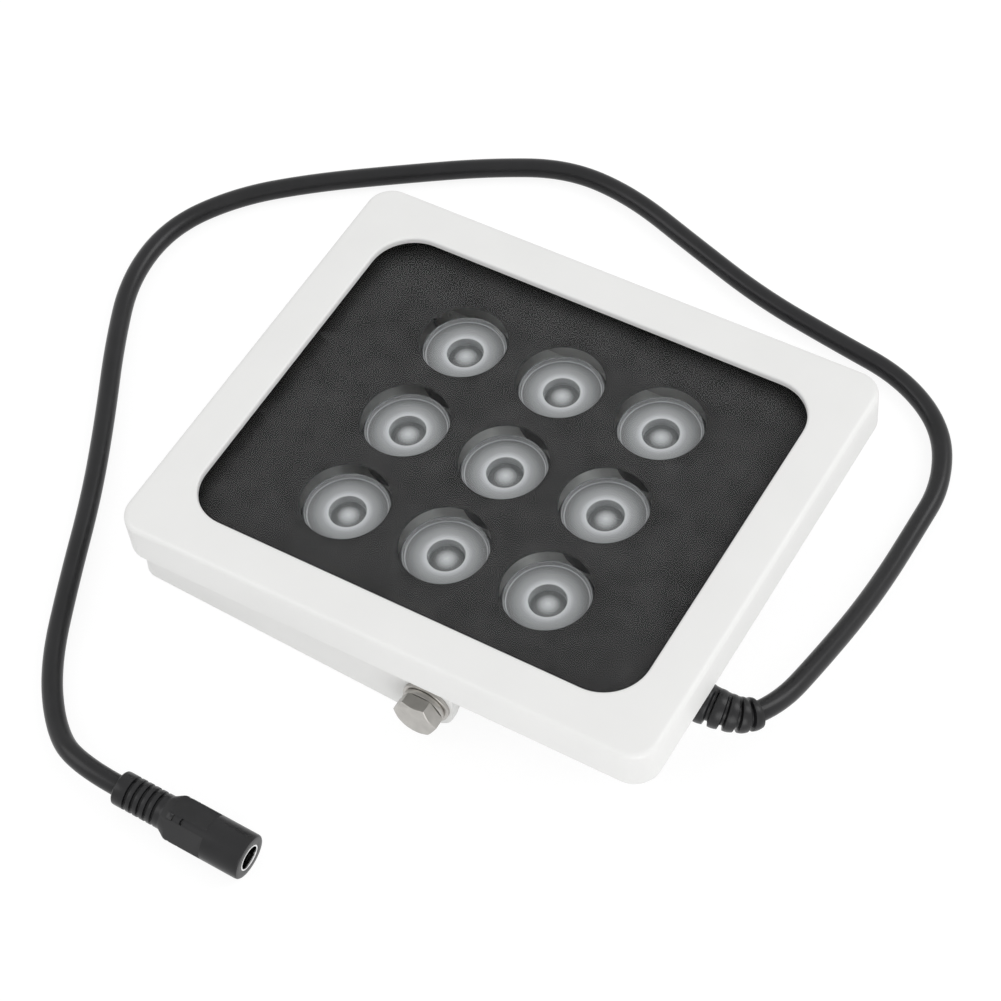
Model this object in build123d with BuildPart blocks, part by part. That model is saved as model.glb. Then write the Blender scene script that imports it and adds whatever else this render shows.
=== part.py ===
import math
import os

from build123d import *

# Infrared illuminator: a square-faced lamp head that tilts in a U-bracket.
# Millimetres. The head is drawn level in its own frame, whose origin is the centre of the
# middle window on the back of the glass, with the front towards +Z. It is then leaned back
# on its pivot bolts until it rests on the bracket. In the row's frame the bracket lies flat
# on z = 0 and its crossbar faces -X.

# Lamps, from the middle out
lamps_along_x = 3
lamps_along_y = 3
lamp_pitch_x = 26.8
lamp_pitch_y = 26.5
emitter_base_radius = 3.9
emitter_base_height = 1.0
emitter_dome_radius = 2.4
lens_cone_radius = 8.4
lens_foot_radius = 4.2
lens_height = 8.2
lens_below_print = 3.0
lens_rim_thickness = 0.6
lens_rim_height = 2.0
lens_face_depth = 1.0
lens_bore_radius = 4.4
lens_bore_depth = 3.2
lens_bore_crown = 0.9
lens_well_radius = 3.0
lens_well_depth = 3.4
lens_foot_gap = 1.4
holder_gap = 0.9
holder_seat = 1.0
holder_edge = 0.9
holder_floor = 1.0
holder_hole_gap = 0.7
clear_window_gap = 0.35

# Lamp board, its pad and its screws
board_margin_x = 7.0
board_margin_y = 4.3
board_thickness = 1.6
pad_thickness = 0.3
board_screw_inset_x = 4.0
board_screw_inset_y = 3.5
board_screw_radius = 1.5
board_screw_length = 5.0
board_screw_head_radius = 2.7
board_screw_head_height = 1.6
board_hole_clearance = 0.2
thread_play = 0.05

# Rear housing
pocket_gap = 1.2
pocket_corner = 3.0
pocket_back = 2.5
board_gap_x = 1.0
board_gap_y = 1.5
cavity_corner = 9.0
housing_wall = 3.0
housing_draft = 5.0
housing_back_round = 1.5
base_thickness = 4.0
fin_height = 7.0
fin_pitch = 8.0
fin_gap = 5.0
fin_count = 12
fins_centre_x = -7.0
flange_thickness = 3.4
flange_clearance = 0.3

# Bezel
bezel_ledge_x = 8.65
bezel_ledge_y = 12.0
bezel_corner = 6.5
bezel_front = 4.8
bezel_lower = -6.4
bezel_wall = 3.0
bezel_top_thickness = 3.6
bezel_edge_round = 1.6
bezel_lip_round = 0.8
bezel_screw_inset_x = 8.4
bezel_screw_inset_y = 8.5
bezel_screw_radius = 1.5
bezel_screw_length = 9.0
screw_head_radius = 2.9
post_radius = 3.3

# Window, glass, print and seal
rim_x = 11.1
rim_y = 11.15
window_corner = 11.0
glass_thickness = 3.0
glass_overlap = 3.0
glass_clearance = 0.3
print_thickness = 0.1
seal_width = 4.0

# Driver
driver_length = 48.0
driver_width = 9.6
driver_centre_y = 12.0
driver_foot = 3.0
driver_foot_radius = 1.6
coil_radius = 3.8
coil_height = 6.0
coil_flange = 1.0
coil_winding_radius = 3.2
capacitor_radius = 3.2
capacitor_height = 7.5
capacitor_pitch = 8.0
capacitor_round = 0.5
chip_length = 5.0
chip_width = 4.0
chip_height = 1.6
chip_gap = 2.3
lead_radius = 0.7
lead_pitch = 2.4
lead_clearance = 0.8

# Pivot
pivot_x = 8.7
pivot_below_base = 4.1
pivot_play = 0.08
side_play = 0.05
boss_radius = 7.0
boss_depth = 15.0
bolt_radius = 3.0
bolt_length = 15.0
bolt_across_flats = 10.0
bolt_head_height = 3.6
bolt_chamfer = 0.5
flat_washer_radius = 6.0
flat_washer_bore = 3.2
flat_washer_thickness = 1.1
spring_washer_radius = 5.3
spring_washer_bore = 3.15
spring_washer_thickness = 1.5
spring_washer_slit = 0.8

# Bracket
arm_gap = 3.5
bracket_beyond = 2.1
bracket_sheet = 2.5
bracket_strip = 18.0
bracket_bend = 1.8
bracket_edge_round = 0.4
bracket_end = 6.7
bracket_end_round = 7.0
bracket_rest_gap = 0.3
centre_hole_radius = 4.2
side_hole_radius = 3.2
side_hole_spacing = 60.0

# Strain relief and cord
relief_inset = 16.2
relief_above_driver = 2.4
relief_seat = 0.6
relief_seat_radius = 7.0
relief_neck_radius = 4.0
relief_neck_play = 0.05
relief_disc_radius = 5.5
relief_disc_thickness = 1.5
relief_root_radius = 5.2
relief_tip_radius = 3.8
relief_groove_depth = 1.1
relief_rib_count = 6
relief_rib_share = 0.66
relief_root_pull = 8.0
relief_tip_pull = 5.0
cord_radius = 2.5

# Power socket on the cord's end, along +X
socket_radius = 5.5
socket_flats = 8.8
socket_roll = 21.0
socket_relief_radius = 4.15
socket_relief_length = 12.9
socket_shoulder = 2.2
socket_flats_length = 12.0
socket_barrel_length = 9.9
socket_edge = 0.7
socket_groove_start = 3.2
socket_groove_pitch = 1.85
socket_groove_width = 0.8
socket_groove_depth = 0.9
socket_groove_count = 5
socket_notch_start = 1.2
socket_notch_pitch = 2.4
socket_notch_length = 1.6
socket_notch_width = 0.7
socket_notch_depth = 0.5
sleeve_radius = 3.25
sleeve_wall = 0.4
sleeve_length = 9.5
pin_radius = 1.05
pin_short = 1.2
liner_thickness = 2.5

# The cord's route in the row's frame, from the strain relief to the socket, for a relief that
# leaves the housing at cord_route_root. The route moves with the relief when the head's size changes.
cord_route_root = (56.8, -27.3)
cord_route = [
    (72.6, -22.5, 18.3),
    (75.9, -16.9, 17.2),
    (77.7, -1.0, 13.4),
    (79.1, 17.0, 8.8),
    (79.5, 33.0, 5.2),
    (79.3, 49.0, 3.0),
    (79.3, 64.5, cord_radius),
    (72.3, 79.8, cord_radius),
    (57.1, 89.0, cord_radius),
    (37.6, 90.9, cord_radius),
    (15.1, 93.6, cord_radius),
    (-7.4, 99.8, cord_radius),
    (-29.9, 106.4, cord_radius),
    (-48.9, 106.0, cord_radius),
    (-66.9, 95.8, cord_radius),
    (-84.9, 82.6, cord_radius),
    (-103.9, 68.0, cord_radius),
    (-118.5, 54.0, cord_radius),
    (-127.9, 37.0, cord_radius),
    (-127.3, 17.5, cord_radius),
    (-118.4, -2.0, cord_radius),
    (-107.3, -22.0, cord_radius),
    (-96.9, -42.5, cord_radius),
    (-87.5, -65.0, cord_radius),
    (-77.9, -86.0, cord_radius),
    (-66.9, -99.2, 2.8),
    (-56.4, -105.0, socket_radius),
    (-44.4, -105.0, socket_radius),
]

# Lamps and their board, worked out from the sizes above
holder_inner_radius = lens_cone_radius + holder_gap
lens_rim_radius = holder_inner_radius + holder_seat
holder_radius = lens_rim_radius + holder_edge
holder_hole_radius = emitter_base_radius + holder_hole_gap
clear_window_radius = lens_rim_radius + clear_window_gap
lens_top = -lens_below_print
lens_foot = lens_top - lens_height
holder_top = lens_top - lens_rim_height
board_top = lens_foot - lens_foot_gap
board_bottom = board_top - board_thickness
board_length = (lamps_along_x - 1) * lamp_pitch_x + 2 * (holder_radius + board_margin_x)
board_width = (lamps_along_y - 1) * lamp_pitch_y + 2 * (holder_radius + board_margin_y)
board_screw_x = board_length / 2 - board_screw_inset_x
board_screw_y = board_width / 2 - board_screw_inset_y

# Housing round the board and the driver's pocket
base_top = board_bottom - pad_thickness
base_bottom = base_top - base_thickness
pivot_z = base_bottom - pivot_below_base
housing_back = base_bottom - fin_height
pocket_length = driver_width + 2 * pocket_gap
pocket_floor = housing_back + pocket_back
cavity_length = board_length + 2 * (pocket_length + board_gap_x)
cavity_width = board_width + 2 * board_gap_y
pocket_x = cavity_length / 2 - pocket_length / 2
housing_length = cavity_length + 2 * housing_wall
housing_width = cavity_width + 2 * housing_wall
housing_corner = cavity_corner + housing_wall
driver_bottom = pocket_floor + driver_foot
driver_top = driver_bottom + board_thickness

# Bezel and glass round the housing
bezel_length = housing_length + 2 * bezel_ledge_x
bezel_width = housing_width + 2 * bezel_ledge_y
bezel_screw_x = bezel_length / 2 - bezel_screw_inset_x
bezel_screw_y = bezel_width / 2 - bezel_screw_inset_y
window_length = bezel_length - 2 * rim_x
window_width = bezel_width - 2 * rim_y
glass_length = window_length + 2 * glass_overlap
glass_width = window_width + 2 * glass_overlap
glass_corner = window_corner + glass_overlap
flange_top = bezel_lower + flange_thickness
flange_length = bezel_length - 2 * (bezel_wall + flange_clearance)
flange_width = bezel_width - 2 * (bezel_wall + flange_clearance)
flange_corner = bezel_corner - bezel_wall - flange_clearance

# Bracket, pivot and strain relief round the head
bracket_inner_width = housing_width + 2 * arm_gap
bracket_reach = bezel_length / 2 + pivot_x + bracket_beyond
boss_face = bracket_inner_width / 2 - side_play
arm_face = bracket_inner_width / 2 + bracket_sheet
bolt_seat = arm_face + side_play + flat_washer_thickness + spring_washer_thickness
relief_face = housing_length / 2 + relief_seat
relief_y = relief_inset - cavity_width / 2
relief_z = driver_top + relief_above_driver
coil_y = driver_centre_y + driver_length / 2 - 2 * coil_radius
lead_y = coil_y - coil_radius - lead_clearance - lead_radius - lead_pitch / 2
capacitor_last_y = lead_y - lead_pitch / 2 - lead_radius - lead_clearance - capacitor_radius
capacitor_y = capacitor_last_y - capacitor_pitch / 2
chip_y = capacitor_y - capacitor_pitch / 2 - capacitor_radius - chip_gap - chip_length / 2
corners = [(sx, sy) for sx in (-1, 1) for sy in (-1, 1)]
bezel_screw_spots = [(sx * bezel_screw_x, sy * bezel_screw_y) for sx, sy in corners]
board_screw_spots = [(sx * board_screw_x, sy * board_screw_y) for sx, sy in corners]

# The head leans back until the bezel's underside is bracket_rest_gap above the arms
pivot_to_edge = bezel_length / 2 + pivot_x
pivot_to_lower = bezel_lower - pivot_z
half_strip = bracket_strip / 2
lean = math.atan2(pivot_to_lower, pivot_to_edge) - math.asin(
    (half_strip + bracket_rest_gap) / math.hypot(pivot_to_edge, pivot_to_lower)
)

# The row's origin is midway between the crossbar's back and what reaches farthest the other way,
# which is the bezel's edge or the strain relief's tip
head_reach = (bezel_length / 2 - pivot_x) * math.cos(lean) - pivot_to_lower * math.sin(lean)
relief_root_reach = (relief_face - pivot_x) * math.cos(lean) - (relief_z - pivot_z) * math.sin(lean)
first_run = Vector(cord_route[1]) - Vector(cord_route[0])
tip_half_width = relief_tip_radius * math.sin(math.radians(first_run.get_angle(Vector(1, 0, 0))))
relief_reach = relief_root_reach + cord_route[0][0] - cord_route_root[0] + tip_half_width
pivot_row_x = (bracket_reach - max(head_reach, relief_reach)) / 2
row_pivot = Location((pivot_row_x, 0, half_strip))
head_place = row_pivot * Location((0, 0, 0), (0, -math.degrees(lean), 0))
head_place = head_place * Location((-pivot_x, 0, -pivot_z))
level = Location()

os.makedirs("parts", exist_ok=True)


def keep(piece, name, place):
    """Label a finished piece, set it in the row's frame and write its file."""
    piece.part.label = name
    piece.part.location = place * piece.part.location
    export_step(piece.part, f"parts/{name}.step")


def side_plane(side, y):
    """A plane square to the pivot axis, facing outwards on the given side."""
    return Plane((pivot_x, side * y, pivot_z), x_dir=(1, 0, 0), z_dir=(0, side, 0))


# Front bezel: a hollow frame whose lip covers the glass's edge
with BuildPart() as front_bezel:
    with BuildSketch(Plane.XY.offset(bezel_lower)):
        RectangleRounded(bezel_length, bezel_width, bezel_corner)
    extrude(amount=bezel_front - bezel_lower)
    fillet(front_bezel.edges().group_by(Axis.Z)[-1], bezel_edge_round)
    with BuildSketch(Plane.XY.offset(bezel_lower)):
        RectangleRounded(
            bezel_length - 2 * bezel_wall,
            bezel_width - 2 * bezel_wall,
            bezel_corner - bezel_wall,
        )
    extrude(amount=bezel_front - bezel_top_thickness - bezel_lower, mode=Mode.SUBTRACT)
    with BuildSketch():
        RectangleRounded(
            glass_length + 2 * glass_clearance,
            glass_width + 2 * glass_clearance,
            glass_corner + glass_clearance,
        )
    extrude(amount=glass_thickness, mode=Mode.SUBTRACT)
    with BuildSketch():
        RectangleRounded(window_length, window_width, window_corner)
    extrude(amount=bezel_front, mode=Mode.SUBTRACT)
    inner_lip = [
        edge
        for edge in front_bezel.edges().group_by(Axis.Z)[-1]
        if abs((edge @ 0.5).X) <= window_length / 2 + 0.01
        and abs((edge @ 0.5).Y) <= window_width / 2 + 0.01
    ]
    fillet(inner_lip, bezel_lip_round)
    with BuildSketch(Plane.XY.offset(flange_top)):
        with Locations(*bezel_screw_spots):
            Circle(post_radius)
    extrude(amount=bezel_front - bezel_top_thickness - flange_top)
    with Locations(*[Plane((x, y, flange_top), z_dir=(0, 0, -1)) for x, y in bezel_screw_spots]):
        Hole(
            radius=bezel_screw_radius + thread_play,
            depth=bezel_screw_length - flange_thickness + thread_play,
        )
keep(front_bezel, "front_bezel", head_place)

# Front glass
with BuildPart() as front_glass:
    with BuildSketch():
        RectangleRounded(glass_length, glass_width, glass_corner)
    extrude(amount=glass_thickness)
keep(front_glass, "front_glass", head_place)

# Black print on the glass's back, with one clear round per lamp
with BuildPart() as black_print:
    with BuildSketch():
        RectangleRounded(glass_length, glass_width, glass_corner)
        with GridLocations(lamp_pitch_x, lamp_pitch_y, lamps_along_x, lamps_along_y):
            Circle(clear_window_radius, mode=Mode.SUBTRACT)
    extrude(amount=-print_thickness)
keep(black_print, "black_print", head_place)

# Rubber frame that the housing presses against the glass
with BuildPart() as glass_seal:
    with BuildSketch(Plane.XY.offset(flange_top)):
        RectangleRounded(glass_length, glass_width, glass_corner)
        RectangleRounded(
            glass_length - 2 * seal_width,
            glass_width - 2 * seal_width,
            glass_corner - seal_width,
            mode=Mode.SUBTRACT,
        )
    extrude(amount=-print_thickness - flange_top)
keep(glass_seal, "glass_seal", head_place)

# Rear housing: flange, drafted box, lamp cavity, driver pocket, fins and pivot bosses
with BuildPart() as rear_housing:
    with BuildSketch(Plane.XY.offset(bezel_lower)):
        RectangleRounded(housing_length, housing_width, housing_corner)
    extrude(amount=housing_back - bezel_lower, taper=housing_draft)
    fillet(rear_housing.edges().group_by(Axis.Z)[0], housing_back_round)
    with BuildSketch(Plane.XY.offset(housing_back)):
        with Locations((fins_centre_x, 0)):
            with GridLocations(fin_pitch, 0, fin_count, 1):
                Rectangle(fin_gap, housing_width)
    extrude(amount=base_bottom - housing_back, mode=Mode.SUBTRACT)
    with BuildSketch(Plane.XY.offset(bezel_lower)):
        RectangleRounded(flange_length, flange_width, flange_corner)
    extrude(amount=flange_thickness)
    for side in (-1, 1):
        with BuildSketch(side_plane(side, boss_face)):
            Circle(boss_radius)
        extrude(amount=-boss_depth)
    with BuildSketch(Plane((relief_face, relief_y, relief_z), x_dir=(0, 1, 0), z_dir=(1, 0, 0))):
        Circle(relief_seat_radius)
    extrude(amount=cavity_length / 2 - relief_face)
    with BuildSketch(Plane.XY.offset(base_top)):
        RectangleRounded(cavity_length, cavity_width, cavity_corner)
    extrude(amount=flange_top - base_top, mode=Mode.SUBTRACT)
    with BuildSketch(Plane.XY.offset(pocket_floor)):
        with Locations((pocket_x, 0)):
            RectangleRounded(pocket_length, cavity_width - 2 * pocket_corner, pocket_corner)
    extrude(amount=base_top - pocket_floor, mode=Mode.SUBTRACT)
    with BuildSketch(Plane.XY.offset(pocket_floor)):
        with Locations((pocket_x, driver_centre_y)):
            with GridLocations(0, driver_length - 4 * driver_foot_radius, 1, 2):
                Circle(driver_foot_radius)
    extrude(amount=driver_foot)
    with Locations(*[side_plane(side, boss_face) for side in (-1, 1)]):
        Hole(radius=bolt_radius + thread_play, depth=boss_depth - 1)
    with Locations(Plane((relief_face, relief_y, relief_z), x_dir=(0, 1, 0), z_dir=(1, 0, 0))):
        Hole(radius=relief_neck_radius, depth=pocket_length)
    with Locations(*[Plane((x, y, bezel_lower), z_dir=(0, 0, -1)) for x, y in bezel_screw_spots]):
        CounterSinkHole(
            radius=bezel_screw_radius + thread_play,
            counter_sink_radius=screw_head_radius + thread_play,
            depth=flange_thickness,
            counter_sink_angle=90,
        )
    with Locations(*[(x, y, base_top) for x, y in board_screw_spots]):
        Hole(
            radius=board_screw_radius + thread_play,
            depth=board_screw_length - board_thickness - pad_thickness + thread_play,
        )
keep(rear_housing, "rear_housing", head_place)

# Screws from behind, through the flange into the bezel's posts
with BuildPart() as bezel_screw:
    with BuildSketch(Plane.XZ):
        with BuildLine():
            Polyline(
                (0, 0),
                (screw_head_radius, 0),
                (bezel_screw_radius, screw_head_radius - bezel_screw_radius),
                (bezel_screw_radius, bezel_screw_length),
                (0, bezel_screw_length),
                close=True,
            )
        make_face()
    revolve(axis=Axis.Z)
with BuildPart() as bezel_screws:
    with Locations(*[(x, y, bezel_lower) for x, y in bezel_screw_spots]):
        add(bezel_screw.part)
keep(bezel_screws, "bezel_screws", head_place)

# Thermal pad, metal-core board and its screws
with BuildPart() as thermal_pad:
    with BuildSketch(Plane.XY.offset(base_top)):
        Rectangle(board_length, board_width)
        with Locations(*board_screw_spots):
            Circle(board_screw_radius + board_hole_clearance, mode=Mode.SUBTRACT)
    extrude(amount=pad_thickness)
keep(thermal_pad, "thermal_pad", head_place)

with BuildPart() as led_board:
    with BuildSketch(Plane.XY.offset(board_bottom)):
        Rectangle(board_length, board_width)
        with Locations(*board_screw_spots):
            Circle(board_screw_radius + board_hole_clearance, mode=Mode.SUBTRACT)
    extrude(amount=board_thickness)
keep(led_board, "led_board", head_place)

with BuildPart() as board_screws:
    with BuildSketch(Plane.XY.offset(board_top)):
        with Locations(*board_screw_spots):
            Circle(board_screw_head_radius)
    extrude(amount=board_screw_head_height)
    with BuildSketch(Plane.XY.offset(board_top)):
        with Locations(*board_screw_spots):
            Circle(board_screw_radius)
    extrude(amount=-board_screw_length)
keep(board_screws, "board_screws", head_place)

# Emitter, lens holder and lens, drawn about their own axis and repeated at every window
with BuildPart() as emitter:
    with BuildSketch(Plane.XZ):
        with BuildLine():
            Line((0, 0), (emitter_base_radius, 0))
            Line((emitter_base_radius, 0), (emitter_base_radius, emitter_base_height))
            Line(
                (emitter_base_radius, emitter_base_height),
                (emitter_dome_radius, emitter_base_height),
            )
            CenterArc((0, emitter_base_height), emitter_dome_radius, 0, 90)
            Line((0, emitter_base_height + emitter_dome_radius), (0, 0))
        make_face()
    revolve(axis=Axis.Z)

with BuildPart() as holder:
    with BuildSketch(Plane.XZ):
        with BuildLine():
            Polyline(
                (holder_hole_radius, 0),
                (holder_radius, 0),
                (holder_radius, holder_top - board_top),
                (holder_inner_radius, holder_top - board_top),
                (holder_inner_radius, holder_floor),
                (holder_hole_radius, holder_floor),
                close=True,
            )
        make_face()
    revolve(axis=Axis.Z)

lens_rim_inner = lens_rim_radius - lens_rim_thickness
with BuildPart() as lens:
    with BuildSketch(Plane.XZ):
        with BuildLine():
            Polyline(
                (0, -lens_bore_depth + lens_bore_crown),
                (0, lens_well_depth - lens_height),
                (lens_well_radius, lens_well_depth - lens_height - lens_bore_crown),
                (lens_well_radius, -lens_height),
                (lens_foot_radius, -lens_height),
                (lens_cone_radius, -lens_rim_height),
                (lens_rim_radius, -lens_rim_height),
                (lens_rim_radius, 0),
                (lens_rim_inner, 0),
                (lens_rim_inner, -lens_face_depth),
                (lens_bore_radius, -lens_face_depth),
                (lens_bore_radius, -lens_bore_depth),
            )
            TangentArc(
                (0, -lens_bore_depth + lens_bore_crown),
                (lens_bore_radius, -lens_bore_depth),
                tangent=(1, 0),
            )
        make_face()
    revolve(axis=Axis.Z)

lamp_spots = GridLocations(lamp_pitch_x, lamp_pitch_y, lamps_along_x, lamps_along_y)
for number, spot in enumerate(lamp_spots, start=1):
    for shape, name, height in (
        (emitter, "emitter", board_top),
        (holder, "lens_holder", board_top),
        (lens, "lens", lens_top),
    ):
        with BuildPart() as placed:
            with Locations(spot * Location((0, 0, height))):
                add(shape.part)
        keep(placed, f"{name}_{number}", head_place)

# Driver board in its pocket, with a coil, capacitors and a chip
with BuildPart() as driver_board:
    with BuildSketch(Plane.XY.offset(driver_bottom)):
        with Locations((pocket_x, driver_centre_y)):
            Rectangle(driver_width, driver_length)
    extrude(amount=board_thickness)
keep(driver_board, "driver_board", head_place)

with BuildPart() as driver_coil:
    with BuildSketch(Plane.XZ):
        with BuildLine():
            Polyline(
                (0, 0),
                (coil_radius, 0),
                (coil_radius, coil_flange),
                (coil_winding_radius, coil_flange),
                (coil_winding_radius, coil_height - coil_flange),
                (coil_radius, coil_height - coil_flange),
                (coil_radius, coil_height),
                (0, coil_height),
                close=True,
            )
        make_face()
    revolve(axis=Axis.Z)
keep(driver_coil, "driver_coil", head_place * Location((pocket_x, coil_y, driver_top)))

with BuildPart() as driver_capacitors:
    with BuildSketch(Plane.XY.offset(driver_top)):
        with Locations((pocket_x, capacitor_y)):
            with GridLocations(0, capacitor_pitch, 1, 2):
                Circle(capacitor_radius)
    extrude(amount=capacitor_height)
    fillet(driver_capacitors.edges().group_by(Axis.Z)[-1], capacitor_round)
keep(driver_capacitors, "driver_capacitors", head_place)

with BuildPart() as driver_chip:
    with BuildSketch(Plane.XY.offset(driver_top)):
        with Locations((pocket_x, chip_y)):
            Rectangle(chip_width, chip_length)
    extrude(amount=chip_height)
    chamfer(driver_chip.edges().group_by(Axis.Z)[-1], chip_height / 5)
keep(driver_chip, "driver_chip", head_place)

# Inner wires: from the strain relief to the driver board, and on to the lamp board
lead_sides = (-lead_pitch / 2, lead_pitch / 2)
supply_end_y = driver_centre_y - driver_length / 2 + 2 * lead_radius
with BuildPart() as supply_leads:
    for lead_shift in lead_sides:
        start = (cavity_length / 2 - relief_disc_thickness, relief_y + lead_shift, relief_z)
        bend_x = pocket_x + lead_shift
        with BuildLine():
            FilletPolyline(
                start,
                (bend_x, relief_y + lead_shift, relief_z),
                (bend_x, supply_end_y, relief_z),
                (bend_x, supply_end_y, driver_top),
                radius=2 * lead_radius,
            )
        with BuildSketch(Plane(start, z_dir=(-1, 0, 0))):
            Circle(lead_radius)
        sweep()
keep(supply_leads, "supply_leads", head_place)

lead_rise = board_top + 3 * lead_radius
with BuildPart() as led_leads:
    for lead_shift in lead_sides:
        start = (pocket_x, lead_y + lead_shift, driver_top)
        with BuildLine():
            FilletPolyline(
                start,
                (pocket_x, lead_y + lead_shift, lead_rise),
                (board_length / 2 - 2 * lead_radius, lead_y + lead_shift, lead_rise),
                (board_length / 2 - 2 * lead_radius, lead_y + lead_shift, board_top),
                radius=2 * lead_radius,
            )
        with BuildSketch(Plane(start, z_dir=(0, 0, 1))):
            Circle(lead_radius)
        sweep()
keep(led_leads, "led_leads", head_place)

# Pivot bolts and washers, one set on each side
with BuildPart() as bolt:
    with BuildSketch():
        RegularPolygon(bolt_across_flats / 2, 6, major_radius=False)
    extrude(amount=bolt_head_height)
    crown = bolt_across_flats / math.sqrt(3)
    with BuildSketch(Plane.XZ):
        with BuildLine():
            Polyline(
                (0, 0),
                (crown, 0),
                (crown, bolt_head_height - bolt_chamfer),
                (bolt_across_flats / 2 - bolt_chamfer, bolt_head_height),
                (0, bolt_head_height),
                close=True,
            )
        make_face()
    revolve(axis=Axis.Z, mode=Mode.INTERSECT)
    with BuildSketch():
        Circle(bolt_radius)
    extrude(amount=-bolt_length)
with BuildPart() as pivot_bolts:
    with Locations(*[side_plane(side, bolt_seat) for side in (-1, 1)]):
        add(bolt.part)
keep(pivot_bolts, "pivot_bolts", head_place)

with BuildPart() as spring_washers:
    for side in (-1, 1):
        with BuildSketch(side_plane(side, bolt_seat)):
            Circle(spring_washer_radius)
            Circle(spring_washer_bore, mode=Mode.SUBTRACT)
            with Locations((0, -spring_washer_radius)):
                Rectangle(spring_washer_slit, spring_washer_radius, mode=Mode.SUBTRACT)
        extrude(amount=-spring_washer_thickness)
keep(spring_washers, "spring_washers", head_place)

with BuildPart() as flat_washers:
    for side in (-1, 1):
        with BuildSketch(side_plane(side, arm_face + side_play)):
            Circle(flat_washer_radius)
            Circle(flat_washer_bore, mode=Mode.SUBTRACT)
        extrude(amount=flat_washer_thickness)
keep(flat_washers, "flat_washers", head_place)

# Bracket: one strip bent to a U, drawn in the row's frame
bar_x = pivot_row_x - bracket_reach
end_x = pivot_row_x + bracket_end
with BuildPart() as bracket:
    with BuildSketch():
        with BuildLine():
            FilletPolyline(
                (end_x, -bracket_inner_width / 2),
                (bar_x + bracket_sheet, -bracket_inner_width / 2),
                (bar_x + bracket_sheet, bracket_inner_width / 2),
                (end_x, bracket_inner_width / 2),
                radius=bracket_bend,
            )
            offset(amount=bracket_sheet, side=Side.LEFT)
        make_face()
    extrude(amount=bracket_strip)
    fillet(bracket.edges().filter_by(Axis.Y).group_by(Axis.X)[-1], bracket_end_round)
    fillet(bracket.edges().group_by(Axis.Z)[0] + bracket.edges().group_by(Axis.Z)[-1], bracket_edge_round)
    with Locations(Plane((pivot_row_x, arm_face, half_strip), x_dir=(1, 0, 0), z_dir=(0, 1, 0))):
        Hole(radius=bolt_radius + pivot_play)
    with Locations(Plane((bar_x, 0, half_strip), x_dir=(0, 1, 0), z_dir=(-1, 0, 0))):
        Hole(radius=centre_hole_radius, depth=bracket_sheet)
        with GridLocations(side_hole_spacing, 0, 2, 1):
            Hole(radius=side_hole_radius, depth=bracket_sheet)
keep(bracket, "bracket", level)

# Strain relief: a disc inside the wall, a neck through it and a ribbed, bending tail
root_point = (head_place * Location((relief_face, relief_y, relief_z))).position
root_out = (head_place * Location((relief_face + 1, relief_y, relief_z))).position - root_point
route_shift = Vector(root_point.X - cord_route_root[0], root_point.Y - cord_route_root[1], 0)
route = [Vector(point) + route_shift for point in cord_route]
tip_point = route[0]
tip_out = (route[1] - route[0]).normalized()
with BuildLine() as relief_line:
    Bezier(
        root_point,
        root_point + root_out * relief_root_pull,
        tip_point - tip_out * relief_tip_pull,
        tip_point,
    )
relief_path = relief_line.edge()


def relief_plane(share):
    """The plane square to the relief's line at a share of its length."""
    return Plane(relief_path @ share, z_dir=relief_path % share)


def relief_radius(share):
    """The ribs' radius, which falls evenly from the root to the tip."""
    return relief_root_radius + (relief_tip_radius - relief_root_radius) * share


wall_inside = (head_place * Location((cavity_length / 2, relief_y, relief_z))).position
with BuildPart() as strain_relief:
    for rib in range(relief_rib_count):
        start = rib / (relief_rib_count - 1 + relief_rib_share)
        middle = (rib + relief_rib_share) / (relief_rib_count - 1 + relief_rib_share)
        finish = (rib + 1) / (relief_rib_count - 1 + relief_rib_share)
        with BuildSketch(relief_plane(start)):
            Circle(relief_radius(start))
        with BuildSketch(relief_plane(middle)):
            Circle(relief_radius(middle))
        loft()
        if rib < relief_rib_count - 1:
            with BuildSketch(relief_plane(middle)):
                Circle(relief_radius(middle) - relief_groove_depth)
            with BuildSketch(relief_plane(finish)):
                Circle(relief_radius(finish) - relief_groove_depth)
            loft()
    with BuildSketch(Plane(root_point, z_dir=-root_out)):
        Circle(relief_neck_radius - relief_neck_play)
    extrude(amount=relief_face - cavity_length / 2)
    with BuildSketch(Plane(wall_inside, z_dir=-root_out)):
        Circle(relief_disc_radius)
    extrude(amount=relief_disc_thickness)
keep(strain_relief, "strain_relief", level)

# Cord: straight runs joined by tangent arcs, each as large as its two runs allow
runs = [after - before for before, after in zip(route, route[1:])]
cord_radii = [
    0.45 * min(run.length, following.length) / math.tan(math.radians(run.get_angle(following)) / 2)
    for run, following in zip(runs, runs[1:])
]
with BuildPart() as cord:
    with BuildLine() as cord_line:
        FilletPolyline(*route, radius=cord_radii)
    with BuildSketch(Plane(route[0], z_dir=runs[0])):
        Circle(cord_radius)
    sweep()
keep(cord, "cord", level)
cord_length = cord_line.wire().length
print("cord arc radii:", [round(radius, 1) for radius in cord_radii])
print("cord length:", round(cord_length, 1))
print("cord volume over section times length:", cord.part.volume / (math.pi * cord_radius**2 * cord_length))

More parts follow.
